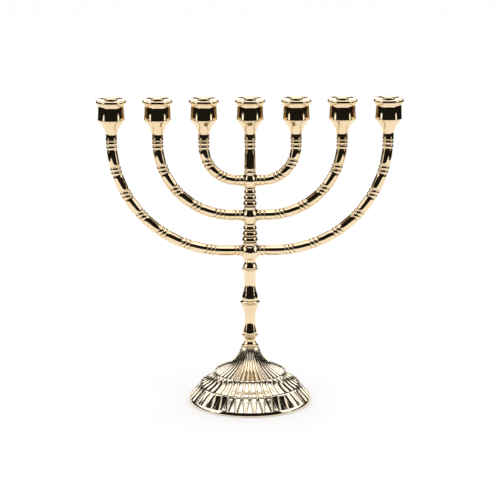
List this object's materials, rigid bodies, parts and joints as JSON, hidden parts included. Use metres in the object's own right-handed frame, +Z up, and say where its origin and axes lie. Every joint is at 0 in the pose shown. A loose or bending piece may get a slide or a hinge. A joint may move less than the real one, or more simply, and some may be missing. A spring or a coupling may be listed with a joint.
{
  "type": "menorah",
  "caption": "Branched candelabrum: beaded arms curve up from a ringed stem on a fluted, stepped round foot, each ending in an octagonal candle cup, all in one plane.",
  "frame": {"origin": "centre of the foot's underside, on the surface it stands on", "axes": "+Z up the stem, +X along the row of cups, with the branches in the XZ plane, and +Y away from the front"},
  "size_m": [0.2708, 0.1106, 0.276],
  "materials": {
    "polished_brass": "polished, with darker tarnish in the grooves",
    "fluted_brass": "polished ridges, darker in the grooves",
    "steel_fixings": "zinc plated"
  },
  "bodies": {
    "root": {"foot": "fluted_brass", "foot_collar": "polished_brass", "stem_lower": "polished_brass", "stem_upper": "polished_brass", "stem_neck": "polished_brass", "hub_lower": "polished_brass", "spacer_lower": "polished_brass", "hub_middle": "polished_brass", "spacer_upper": "polished_brass", "hub_upper": "polished_brass", "centre_column": "polished_brass", "arm_outer_left": "polished_brass", "arm_outer_right": "polished_brass", "arm_middle_left": "polished_brass", "arm_middle_right": "polished_brass", "arm_inner_left": "polished_brass", "arm_inner_right": "polished_brass", "candle_cup_1": "polished_brass", "candle_cup_2": "polished_brass", "candle_cup_3": "polished_brass", "candle_cup_4": "polished_brass", "candle_cup_5": "polished_brass", "candle_cup_6": "polished_brass", "candle_cup_7": "polished_brass", "tie_rod": "steel_fixings", "foot_washer": "steel_fixings", "foot_nut": "steel_fixings"}
  },
  "joints": []
}
